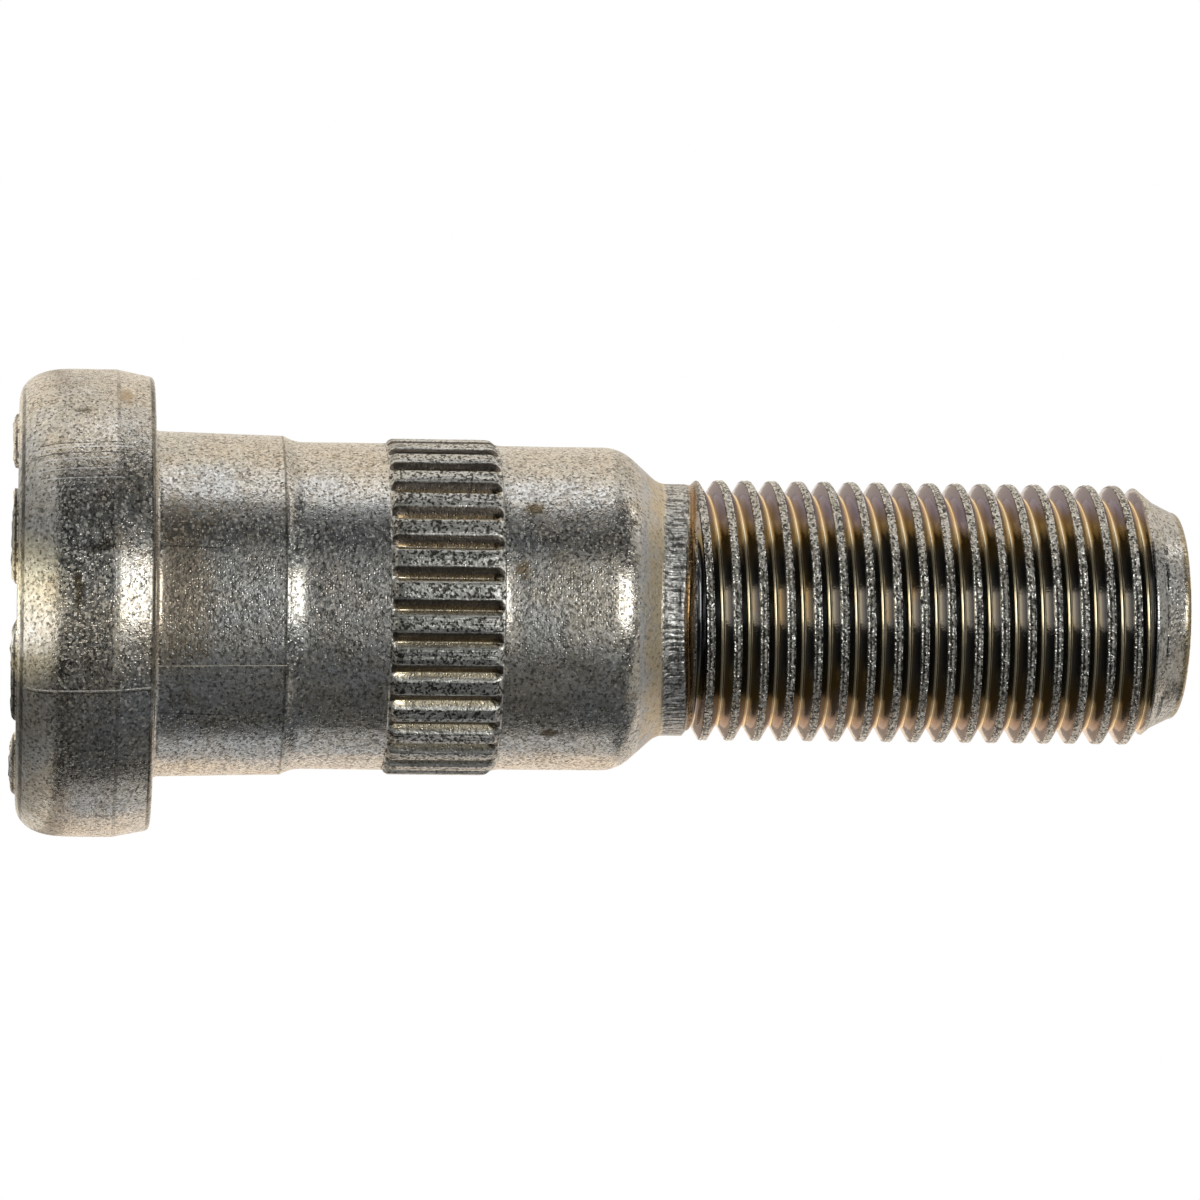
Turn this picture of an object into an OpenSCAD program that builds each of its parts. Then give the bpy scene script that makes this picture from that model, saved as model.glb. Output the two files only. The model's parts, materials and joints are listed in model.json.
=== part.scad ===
// Press-in wheel stud, cold forged in one piece and plated.
// The axis is Z. The stud stands on the raised pads of its head, so z = 0 is their tops.

/* [Head] */
// Diameter of the head
head_d = 22.2; // [20:0.1:26]
// Thickness of the head, from its face to its underside
head_h = 6.35; // [5:0.05:9]
// Radius of the rounded edge between the face and the side
head_edge_r = 1.8; // [0.5:0.1:2.5]
// Radius that the side loses near the underside
head_draft = 0.3; // [0.1:0.05:0.6]
// Length of the side that narrows
head_draft_h = 1.5; // [0.8:0.1:2]
// Chamfer at the underside's rim
head_rim = 0.3; // [0.1:0.05:0.5]

/* [Raised pads on the head] */
// Number of pads in the ring
pad_count = 8; // [4:2:12]
// Height of the pads above the face
pad_h = 0.44; // [0.2:0.02:0.8]
// Flat rim between the pads and the rounded edge
pad_rim = 0.1; // [0:0.05:1]
// Width of each pad, measured towards the centre
pad_w = 1.5; // [0.8:0.1:3]
// Gap between two pads, measured around the ring
pad_gap = 2.3; // [0.8:0.1:3]

/* [Collar under the head] */
// Step in radius from the body up to the collar
collar_step = 0.28; // [0.1:0.02:1]
// Further radius that the collar gains towards the head
collar_flare = 0.14; // [0.02:0.02:0.4]
// Length of the collar, with the chamfer at its end
collar_h = 6.55; // [3:0.05:9]
// Length of the chamfer at the collar's end
collar_chamfer_h = 0.45; // [0.2:0.05:1]
// Radius of the fillet between the head and the collar
collar_fillet_r = 0.35; // [0.2:0.05:0.8]

/* [Body] */
// Diameter of the body between the collar and the knurl
body_d = 15.56; // [14.5:0.02:17]
// Plain length between the collar and the knurl
body_h = 4.4; // [1:0.1:8]
// Radius that the pilot beyond the knurl loses from the body
pilot_relief = 0.06; // [0.02:0.01:0.3]
// Plain length of the pilot beyond the knurl
pilot_h = 5.2; // [1:0.1:12]

/* [Knurl] */
// Length of the knurl
knurl_h = 5.15; // [3:0.05:7]
// Height of the crests above the body, which bite into the hub
crest_h = 0.22; // [0.12:0.01:0.4]
// Length over which the crests rise at either end
crest_rise = 0.25; // [0.1:0.05:0.8]
// Number of grooves
groove_count = 32; // [20:1:36]
// Depth of a groove below the crests
groove_depth = 0.4; // [0.3:0.02:0.6]
// Width of a groove at the crests
groove_w = 1.03; // [0.6:0.01:1.15]
// Width of the flat at the bottom of a groove
groove_root_w = 0.12; // [0.05:0.01:0.3]
// Length by which the grooves run on past the crests
groove_run = 0.08; // [0.04:0.01:0.3]

/* [Taper and neck] */
// Radius that rounds the pilot into the taper
taper_round_r = 2.1; // [0.5:0.1:2.5]
// Angle between the taper and the axis
taper_angle = 42; // [35:1:50]
// Radius that blends the taper into the neck
taper_blend_r = 1.1; // [0.5:0.1:1.8]
// Diameter of the neck
neck_d = 12.04; // [10.5:0.02:12.3]
// Plain length of the neck before the thread
neck_h = 0.7; // [0.2:0.05:3]

/* [Thread] */
// Major diameter of the thread
thread_d = 12.48; // [12.4:0.02:14]
// Length of the thread at its full diameter
thread_h = 21.8; // [12:0.1:40]
// Pitch of the thread
thread_pitch = 1.27; // [1.1:0.01:2]
// Depth of the thread below its crests
thread_depth = 0.68; // [0.5:0.01:0.75]
// Width of the flat at the thread's root
thread_root_w = 0.16; // [0.05:0.01:0.25]
// Diameter where the chamfer ends and the lead starts
lead_root_d = 10.9; // [10.4:0.05:12]
// Diameter of the lead at its end
lead_end_d = 10.05; // [8:0.05:10.3]
// Length of the lead beyond the chamfer
lead_h = 1.27; // [0.8:0.01:4]
// Chamfer around the end face
tip_chamfer = 0.25; // [0.1:0.05:0.6]

/* [Hidden] */
$fn = 96;
arc_steps = 8;
overlap = 1;
groove_clear = 0.1;
flank_angle = 30;

// Radii of the parts that grow from the body
body_r = body_d / 2;
pilot_r = body_r - pilot_relief;
crest_r = body_r + crest_h;
collar_end_r = body_r + collar_step;
collar_root_r = collar_end_r + collar_flare;
neck_r = neck_d / 2;
thread_r = thread_d / 2;

// Heights along the axis, from the pads up
face_z = pad_h;
seat_z = face_z + head_h;
collar_top_z = seat_z + collar_h;
knurl_z = collar_top_z + body_h;
knurl_top_z = knurl_z + knurl_h;
taper_z = knurl_top_z + pilot_h;

// The taper is a straight cone between two arcs that it touches
taper_arcs_r = taper_round_r + taper_blend_r;
taper_drop = pilot_r - neck_r - taper_arcs_r * (1 - cos(taper_angle));
neck_z = taper_z + taper_arcs_r * sin(taper_angle) + taper_drop / tan(taper_angle);

thread_z = neck_z + neck_h;
thread_rise = thread_r - neck_r;
chamfer_z = thread_z + thread_rise + thread_h;
lead_z = chamfer_z + thread_r - lead_root_d / 2;
tip_z = lead_z + lead_h;

// The thread is drawn as rings at its true pitch, centred on its length
turn_count = floor(thread_h / thread_pitch);
first_turn_z = chamfer_z - (thread_h + (turn_count - 1) * thread_pitch) / 2;

// Points along an arc, from one angle to another
function arc(centre, r, from, to) = [
    for (i = [0 : arc_steps])
        let (angle = from + (to - from) * i / arc_steps)
            centre + r * [cos(angle), sin(angle)]
];

// The outline is drawn as [radius, height], from the face up to the tip
function head_outline() =
    let (side_r = head_d / 2, draft_r = side_r - head_draft)
    concat(
        [[0, face_z]],
        arc([side_r - head_edge_r, face_z + head_edge_r], head_edge_r, -90, 0),
        [
            [side_r, seat_z - head_draft_h],
            [draft_r, seat_z - head_rim],
            [draft_r - head_rim, seat_z]
        ]
    );

function collar_outline() = concat(
    arc([collar_root_r, seat_z] + collar_fillet_r * [1, 1], collar_fillet_r, 270, 180),
    [
        [collar_end_r, collar_top_z - collar_chamfer_h],
        [body_r, collar_top_z]
    ]
);

function knurl_outline() = [
    [body_r, knurl_z],
    [crest_r, knurl_z + crest_rise],
    [crest_r, knurl_top_z - crest_rise],
    [pilot_r, knurl_top_z]
];

function taper_outline() = concat(
    arc([pilot_r - taper_round_r, taper_z], taper_round_r, 0, taper_angle),
    arc([neck_r + taper_blend_r, neck_z], taper_blend_r, 180 + taper_angle, 180)
);

function thread_outline() = concat(
    [
        [neck_r, thread_z],
        [thread_r, thread_z + thread_rise]
    ],
    [for (i = [0 : turn_count - 1]) each turn_outline(first_turn_z + i * thread_pitch)],
    [
        [thread_r, chamfer_z],
        [lead_root_d / 2, lead_z],
        [lead_end_d / 2, tip_z - tip_chamfer],
        [lead_end_d / 2 - tip_chamfer, tip_z],
        [0, tip_z]
    ]
);

// One vee of the thread, from crest to root and back
function turn_outline(root_z) =
    let (root_half = thread_root_w / 2, mouth_half = root_half + thread_depth * tan(flank_angle))
    [
        [thread_r, root_z - mouth_half],
        [thread_r - thread_depth, root_z - root_half],
        [thread_r - thread_depth, root_z + root_half],
        [thread_r, root_z + mouth_half]
    ];

// Plain arcs around the head's face, which the stud stands on
module pads() {
    ring_r = head_d / 2 - head_edge_r - pad_rim;
    pad_angle = 360 / pad_count - pad_gap / ring_r * 180 / PI;
    for (i = [0 : pad_count - 1])
        rotate([0, 0, (i + 0.5) * 360 / pad_count - pad_angle / 2])
            rotate_extrude(angle = pad_angle)
                translate([ring_r - pad_w, 0]) square([pad_w, pad_h + overlap]);
}

// One knurl groove: a vee along the axis, closed by a round end above and below
module groove() {
    root_r = crest_r - groove_depth;
    cut_depth = groove_depth + groove_clear;
    slope = (groove_w - groove_root_w) / 2 / groove_depth;
    mouth_w = groove_root_w + 2 * slope * cut_depth;
    groove_h = knurl_h + 2 * groove_run;
    intersection() {
        translate([0, 0, knurl_z - overlap])
            linear_extrude(knurl_h + 2 * overlap)
                polygon([
                    [root_r, -groove_root_w / 2],
                    [root_r + cut_depth, -mouth_w / 2],
                    [root_r + cut_depth, mouth_w / 2],
                    [root_r, groove_root_w / 2]
                ]);
        translate([root_r - overlap, 0, knurl_z - groove_run])
            rotate([90, 0, 90])
                linear_extrude(cut_depth + 2 * overlap) slot(mouth_w, groove_h);
    }
}

// A strip with round ends, standing on the origin
module slot(w, h) {
    translate([0, w / 2]) circle(d = w);
    translate([0, h - w / 2]) circle(d = w);
    translate([-w / 2, w / 2]) square([w, h - w]);
}

module wheel_stud() {
    color("darkgray") {
        difference() {
            rotate_extrude() polygon(concat(
                head_outline(),
                collar_outline(),
                knurl_outline(),
                taper_outline(),
                thread_outline()
            ));
            for (i = [0 : groove_count - 1])
                rotate([0, 0, i * 360 / groove_count]) groove();
        }
        pads();
    }
}

wheel_stud();
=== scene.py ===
import json
import math
import bmesh
import bpy
from mathutils import Matrix, Vector


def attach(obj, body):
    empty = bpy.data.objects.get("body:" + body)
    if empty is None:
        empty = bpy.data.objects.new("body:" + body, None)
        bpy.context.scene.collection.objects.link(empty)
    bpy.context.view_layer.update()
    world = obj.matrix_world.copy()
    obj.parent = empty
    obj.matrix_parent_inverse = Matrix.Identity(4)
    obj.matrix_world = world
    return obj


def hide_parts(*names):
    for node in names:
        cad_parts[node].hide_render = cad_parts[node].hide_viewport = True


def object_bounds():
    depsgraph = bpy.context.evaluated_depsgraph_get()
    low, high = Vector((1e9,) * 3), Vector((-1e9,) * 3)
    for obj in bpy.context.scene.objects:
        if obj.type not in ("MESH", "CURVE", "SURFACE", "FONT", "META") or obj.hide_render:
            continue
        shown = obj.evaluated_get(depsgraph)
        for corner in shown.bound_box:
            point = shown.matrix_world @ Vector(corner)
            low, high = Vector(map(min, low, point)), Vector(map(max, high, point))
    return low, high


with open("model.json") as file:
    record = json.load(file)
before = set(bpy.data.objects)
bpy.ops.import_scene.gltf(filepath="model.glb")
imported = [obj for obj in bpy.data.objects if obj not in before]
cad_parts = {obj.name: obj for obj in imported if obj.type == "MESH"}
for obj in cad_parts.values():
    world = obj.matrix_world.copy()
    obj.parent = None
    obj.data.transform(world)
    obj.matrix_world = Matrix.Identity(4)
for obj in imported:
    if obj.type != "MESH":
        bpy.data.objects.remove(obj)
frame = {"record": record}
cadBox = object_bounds()
mm = 0.001

# The stud stands on its head: +Z runs from the head to the threaded tip.
mounts = {mount["name"]: mount for mount in frame["record"]["mounts"]}
threadMount = mounts["thread"]
knurlMount = mounts["knurl"]


# Small helpers for node trees

def addNode(tree, kind, inputs=None, **settings):
    node = tree.nodes.new(kind)
    for name, value in settings.items():
        setattr(node, name, value)
    for socket, value in (inputs or {}).items():
        if isinstance(value, bpy.types.NodeSocket):
            tree.links.new(value, node.inputs[socket])
        else:
            node.inputs[socket].default_value = value
    return node


def calc(tree, operation, *values):
    return addNode(tree, "ShaderNodeMath", dict(enumerate(values)), operation=operation).outputs[0]


def remap(tree, value, low, high, newLow=0.0, newHigh=1.0):
    return addNode(tree, "ShaderNodeMapRange", {
        "Value": value, "From Min": low, "From Max": high,
        "To Min": newLow, "To Max": newHigh}).outputs["Result"]


def curveOf(tree, value, points):
    node = addNode(tree, "ShaderNodeFloatCurve", {"Value": value})
    curve = node.mapping.curves[0]
    while len(curve.points) < len(points):
        curve.points.new(0.5, 0.5)
    for point, place in zip(curve.points, points):
        point.location = place
        point.handle_type = "VECTOR"
    node.mapping.update()
    return node.outputs["Value"]


def noiseOf(tree, vector, scale, detail=2.0, roughness=0.5):
    return addNode(tree, "ShaderNodeTexNoise", {
        "Vector": vector, "Scale": scale, "Detail": detail, "Roughness": roughness}).outputs[0]


def newInputs(tree, sizes):
    tree.interface.new_socket("Geometry", in_out="INPUT", socket_type="NodeSocketGeometry")
    for name in sizes:
        tree.interface.new_socket(name, in_out="INPUT", socket_type="NodeSocketFloat")
    tree.interface.new_socket("Geometry", in_out="OUTPUT", socket_type="NodeSocketGeometry")
    return tree.nodes.new("NodeGroupInput").outputs


def bakeModifier(obj, tree, sizes):
    # The sizes go in by identifier before the tree is first evaluated
    modifier = obj.modifiers.new(tree.name, "NODES")
    modifier.node_group = tree
    for item in tree.interface.items_tree:
        if item.item_type == "SOCKET" and item.in_out == "INPUT" and item.name in sizes:
            modifier[item.identifier] = float(sizes[item.name])
    graph = bpy.context.evaluated_depsgraph_get()
    baked = bpy.data.meshes.new_from_object(obj.evaluated_get(graph))
    obj.modifiers.remove(modifier)
    return baked


# Stud: an unrolled sheet that Geometry Nodes wrap round the axis

stud = {
    "columns": 256, "creaseGap": 0.05, "rowGap": 0.06,
    "headRadius": 11.1, "faceHeight": 0.33, "edgeRadius": 1.8, "edgeLength": 2.75, "edgeFullness": 2.6,
    "edgeSteps": 16, "seatHeight": 6.69, "draft": 0.3, "draftLength": 1.8, "rim": 0.32,
    "collarFillet": 0.35, "collarRoot": 8.2, "collarEnd": 8.06,
    "collarTop": 13.34, "collarChamfer": 0.5, "collarFoot": 0.95,
    "bodyRadius": 7.78, "pilotRadius": 7.72,
    "knurlBottom": 17.74, "knurlTop": 22.89, "crestRise": 0.25, "crestRound": 0.06, "knurlFoot": 0.06,
    "taperStart": 28.09, "taperRound": 2.1, "taperBlend": 1.1, "taperAngle": 42,
    "neckRadius": 6.02, "threadStart": 31.3,
    "leadStart": 54.63, "leadRadius": 5.45, "leadEnd": 4.99, "tipChamfer": 0.32, "endWear": 0.1,
}
knurl = {
    "Tooth Count": 32, "Crest Radius": knurlMount["dims"]["r_mm"],
    "Groove Depth": 0.4, "Upper Half Width": 0.56, "Lower Half Width": 0.28, "Root Half Width": 0.04,
    "Knurl Middle": (stud["knurlBottom"] + stud["knurlTop"]) / 2,
    "Groove Half Length": (stud["knurlTop"] - stud["knurlBottom"]) / 2 + 0.08,
    "End Slope Length": 0.34,
}
thread = {
    "Pitch": 1.27, "Major Radius": threadMount["dims"]["r_mm"], "Thread Depth": 0.72,
    "Thread Start": stud["threadStart"], "Thread End": stud["leadStart"],
    "Neck Radius": stud["neckRadius"], "Rise Start": 31.81, "Rise Wave": 0.26,
    "Undercut": 0.24, "Undercut Length": 0.48, "Fade Start": 32.08, "Run In": 0.35,
    "Chamfer Start": 53.65, "Lead Radius": stud["leadRadius"],
    "Forge Waviness": 0.03, "Crest Wear": 0.14,
}
firstCrest = 33.08
# Depth along one pitch, from crest to crest, with a row of the sheet at each place
threadProfile = [
    (0.0, 0.04), (0.085, 0.0), (0.14, 0.05), (0.185, 0.16), (0.32, 0.54), (0.44, 0.93), (0.5, 1.0),
    (0.56, 0.93), (0.68, 0.54), (0.815, 0.16), (0.86, 0.05), (0.915, 0.0), (1.0, 0.04)]
threadPhases = [phase for phase, depth in threadProfile[:-1]]


def arcRows(centre, radius, start, end, steps):
    rows = []
    for step in range(steps + 1):
        angle = math.radians(start + (end - start) * step / steps)
        rows.append((centre[0] + radius * math.cos(angle), centre[1] + radius * math.sin(angle)))
    return rows


def lineRows(start, end, steps):
    return [(start[0] + (end[0] - start[0]) * k / steps, start[1] + (end[1] - start[1]) * k / steps)
            for k in range(1, steps + 1)]


def forgedRows(s):
    # Everything below the knurl, as (radius, height), from the middle of the head's face
    faceRadius = s["headRadius"] - s["edgeRadius"]
    side = s["headRadius"]
    rows = [(0.0, s["faceHeight"])]
    rows += lineRows(rows[-1], (faceRadius, s["faceHeight"]), 12)
    # The forged edge is a little longer along the axis than it is deep
    power = 2 / s["edgeFullness"]
    for step in range(1, s["edgeSteps"] + 1):
        slope = math.radians(90 * step / s["edgeSteps"])
        rows.append((faceRadius + s["edgeRadius"] * math.sin(slope) ** power,
                     s["faceHeight"] + s["edgeLength"] * (1 - math.cos(slope) ** power)))
    rows += lineRows(rows[-1], (side, s["seatHeight"] - s["draftLength"]), 8)
    # The side draws in along a straight cone
    rows += lineRows(rows[-1], (side - s["draft"], s["seatHeight"] - s["rim"]), 6)
    rimCentre = (side - s["draft"] - s["rim"], s["seatHeight"] - s["rim"])
    rows += arcRows(rimCentre, s["rim"], 12, 90, 5)
    fillet = s["collarFillet"]
    rows += lineRows(rows[-1], (s["collarRoot"] + fillet, s["seatHeight"]), 5)
    rows += arcRows((s["collarRoot"] + fillet, s["seatHeight"] + fillet), fillet, 260, 180, 6)
    stepHeight = s["collarTop"] - s["collarChamfer"]
    rows += lineRows(rows[-1], (s["collarEnd"], stepHeight - s["creaseGap"]), 14)
    rows += [(s["collarEnd"], stepHeight)]
    # The step runs out in a hollow foot
    drop = s["collarEnd"] - s["bodyRadius"]
    rows += [(s["bodyRadius"] + drop * (1 - k / 8) ** 2, stepHeight + s["collarFoot"] * k / 8)
             for k in range(1, 9)]
    rows += lineRows(rows[-1], (s["bodyRadius"], s["knurlBottom"] - 2 * s["rowGap"]), 10)
    return rows


def knurlRows(s):
    # The lower end of the crests is crisp, and the upper one is worn round
    crest = knurl["Crest Radius"]
    low, high, rise = s["knurlBottom"], s["knurlTop"], s["crestRise"]
    gap, worn, foot = s["rowGap"], s["crestRound"], s["knurlFoot"]
    rows = [(s["bodyRadius"], low - gap), (s["bodyRadius"], low), (crest - worn, low + rise / 2)]
    rows += [(crest, low + rise)]
    rows += lineRows(rows[-1], (crest, high - 2 * rise), 8)
    rows += [(crest - worn / 2, high - rise), (crest - worn * 2, high - rise / 2)]
    rows += [(s["pilotRadius"] + foot * left, high + gap * k)
             for k, left in enumerate((1.0, 0.75, 0.5))]
    return rows


def taperRows(s):
    # The pilot beyond the knurl, the taper and the neck
    arc = s["taperRound"] + s["taperBlend"]
    angle = math.radians(s["taperAngle"])
    drop = s["pilotRadius"] - s["neckRadius"] - arc * (1 - math.cos(angle))
    neckHeight = s["taperStart"] + arc * math.sin(angle) + drop / math.tan(angle)
    rows = [(s["pilotRadius"] + s["knurlFoot"] * 0.2, s["knurlTop"] + 0.25),
            (s["pilotRadius"], s["knurlTop"] + 0.45)]
    rows += lineRows(rows[-1], (s["pilotRadius"], s["taperStart"]), 10)
    rows += arcRows((s["pilotRadius"] - s["taperRound"], s["taperStart"]), s["taperRound"],
                    4, s["taperAngle"], 9)
    blend = arcRows((s["neckRadius"] + s["taperBlend"], neckHeight), s["taperBlend"],
                    180 + s["taperAngle"], 180, 8)
    rows += lineRows(rows[-1], blend[0], 4) + blend[1:]
    rows += lineRows(rows[-1], (s["neckRadius"], s["threadStart"]), 4)
    return rows


def tipRows(s):
    tip = cadBox[1][2] / mm - s["endWear"]
    corner = (s["leadEnd"] - s["tipChamfer"], tip - s["tipChamfer"])
    rows = lineRows((s["leadRadius"], s["leadStart"]), (s["leadEnd"], corner[1]), 6)
    rows += arcRows(corner, s["tipChamfer"], 20, 90, 4)
    rows += lineRows(rows[-1], (0.0, tip), 10)
    return rows


def columnTurns(s):
    # Eight columns for each groove, so that its edges are sharp
    teeth = knurl["Tooth Count"]
    tooth = 2 * math.pi * s["bodyRadius"] / teeth
    upper, lower = knurl["Upper Half Width"] / tooth, knurl["Lower Half Width"] / tooth
    root = knurl["Root Half Width"] / tooth
    places = [0.0, root, lower, lower + 0.06, 0.46, 1 - upper, 1 - (root + upper) / 2, 1 - root]
    grooved = [(t + p) / teeth for t in range(teeth) for p in places] + [1.0]
    count = s["columns"]
    return {"grooved": grooved, "fine": [k / count for k in range(count + 1)],
            "coarse": [2 * k / count for k in range(count // 2 + 1)]}


def unrolledSheet(s):
    # X holds the radius, Y the turn and Z the height. Thread rows climb by one pitch a turn.
    turns = columnTurns(s)
    forged, taper = forgedRows(s), taperRows(s)
    rows = [(r, z, 0.0, 0.0, "coarse") for r, z in forged[:-1]]
    rows += [(*forged[-1], 0.0, 0.0, "fine")]
    rows += [(r, z, 0.0, 0.0, "grooved") for r, z in knurlRows(s)]
    rows += [(*taper[0], 0.0, 0.0, "fine")]
    rows += [(r, z, 0.0, 0.0, "coarse") for r, z in taper[1:-1]]
    rows += [(*taper[-1], 0.0, 0.0, "fine")]
    first = math.floor((s["threadStart"] - firstCrest) / thread["Pitch"]) - 1
    last = math.ceil((s["leadStart"] - firstCrest) / thread["Pitch"]) + 1
    for pitch in range(first, last):
        for phase in threadPhases:
            rows.append((0.0, firstCrest + (pitch + phase) * thread["Pitch"], 1.0, phase, "fine"))
    rows += [(s["leadRadius"], s["leadStart"], 0.0, 0.0, "fine")]
    rows += [(r, z, 0.0, 0.0, "coarse") for r, z in tipRows(s)]

    points, helical, phases, faces = [], [], [], []
    before, beforeCount = 0, 0
    for r, z, climbs, phase, kind in rows:
        start, count = len(points), len(turns[kind])
        points += [(r, turn, z) for turn in turns[kind]]
        helical += [climbs] * count
        phases += [phase] * count
        # Rows of one count are joined by quads, and a fine row meets a coarse one in pentagons
        if beforeCount == count:
            faces += [(before + k, before + k + 1, start + k + 1, start + k) for k in range(count - 1)]
        elif beforeCount > count:
            faces += [(before + 2 * k, before + 2 * k + 1, before + 2 * k + 2, start + k + 1, start + k)
                      for k in range(count - 1)]
        elif beforeCount:
            faces += [(before + k, before + k + 1, start + 2 * k + 2, start + 2 * k + 1, start + 2 * k)
                      for k in range(beforeCount - 1)]
        before, beforeCount = start, count
    mesh = bpy.data.meshes.new("unrolledStud")
    mesh.from_pydata(points, [], faces)
    for name, values in (("helical", helical), ("phase", phases)):
        mesh.attributes.new(name, "FLOAT", "POINT").data.foreach_set("value", values)
    print("sheet:", len(rows), "rows,", len(faces), "faces")
    return mesh


def rolledThread(tree, given, height, angle, phase, wear):
    # Two rolling dies leave a wavy start: an undercut, then the profile fades in to full depth
    dieWave = calc(tree, "MULTIPLY", calc(tree, "COSINE", calc(tree, "MULTIPLY", angle, 2.0)),
                   given["Rise Wave"])
    past = calc(tree, "SUBTRACT", calc(tree, "SUBTRACT", height, given["Rise Start"]), dieWave)
    undercutPart = calc(tree, "DIVIDE", past, given["Undercut Length"])
    bite = curveOf(tree, undercutPart, [(0.0, 0.0), (0.3, 0.9), (0.6, 1.0), (1.0, 0.0)])
    # The dies bite less on the -X side
    sided = calc(tree, "MULTIPLY", bite, remap(tree, calc(tree, "COSINE", angle), -1.0, 0.0, 0.15, 1.0))
    startLimit = calc(tree, "SUBTRACT", remap(
        tree, undercutPart, 0.7, 1.2, given["Neck Radius"], given["Major Radius"]),
        calc(tree, "MULTIPLY", given["Undercut"], sided))
    endLimit = remap(tree, height, given["Chamfer Start"], given["Thread End"],
                     given["Major Radius"], given["Lead Radius"])

    profile = curveOf(tree, phase, threadProfile)
    fade = remap(tree, height, given["Fade Start"], calc(tree, "ADD", given["Fade Start"], given["Run In"]))
    depth = calc(tree, "MULTIPLY", given["Thread Depth"], calc(tree, "MULTIPLY", profile, fade))
    crestMask = remap(tree, profile, 0.0, 0.2, 1.0, 0.0)
    lost = calc(tree, "MULTIPLY", calc(tree, "MULTIPLY", crestMask, given["Crest Wear"]),
                calc(tree, "MAXIMUM", wear, 0.0))
    rolled = calc(tree, "SUBTRACT", calc(tree, "SUBTRACT", given["Major Radius"], depth), lost)
    radius = calc(tree, "MINIMUM", calc(tree, "MINIMUM", rolled, startLimit), endLimit)
    below = calc(tree, "SUBTRACT", calc(tree, "MINIMUM", startLimit, endLimit), radius)
    return {"radius": radius, "depth": calc(tree, "MULTIPLY", profile, fade), "undercut": bite,
            "shown": remap(tree, below, -0.001, 0.02)}


def pressedKnurl(tree, given, height, turn, rowRadius):
    # Each groove is a vee with a flat bottom, and its ends are closed
    across = calc(tree, "SUBTRACT", calc(tree, "FRACT", calc(tree, "ADD", calc(
        tree, "MULTIPLY", turn, given["Tooth Count"]), 0.5)), 0.5)
    toothWidth = calc(tree, "DIVIDE", calc(tree, "MULTIPLY", rowRadius, 2 * math.pi), given["Tooth Count"])
    sideways = calc(tree, "MULTIPLY", across, toothWidth)
    along = calc(tree, "ABSOLUTE", calc(tree, "SUBTRACT", height, given["Knurl Middle"]))
    upperWall = remap(tree, sideways, calc(tree, "MULTIPLY", given["Upper Half Width"], -1.0),
                      calc(tree, "MULTIPLY", given["Root Half Width"], -1.0))
    lowerWall = remap(tree, sideways, given["Root Half Width"], given["Lower Half Width"], 1.0, 0.0)
    endWall = remap(tree, calc(tree, "SUBTRACT", given["Groove Half Length"], along),
                    0.0, given["End Slope Length"])
    cut = calc(tree, "MULTIPLY", given["Groove Depth"], calc(
        tree, "MINIMUM", calc(tree, "MINIMUM", upperWall, lowerWall), endWall))
    within = calc(tree, "LESS_THAN", along, calc(tree, "ADD", given["Groove Half Length"], 0.02))
    cutRadius = calc(tree, "MINIMUM", rowRadius, calc(tree, "SUBTRACT", given["Crest Radius"], cut))
    radius = calc(tree, "ADD", rowRadius, calc(
        tree, "MULTIPLY", within, calc(tree, "SUBTRACT", cutRadius, rowRadius)))
    depth = calc(tree, "MULTIPLY", within, calc(tree, "DIVIDE", cut, given["Groove Depth"]))
    upper = calc(tree, "LESS_THAN", sideways, 0.0)
    return {"radius": radius, "depth": depth, "within": within,
            "upperWall": calc(tree, "MULTIPLY", depth, upper),
            "lowerWall": calc(tree, "MULTIPLY", depth, calc(tree, "SUBTRACT", 1.0, upper))}


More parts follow.
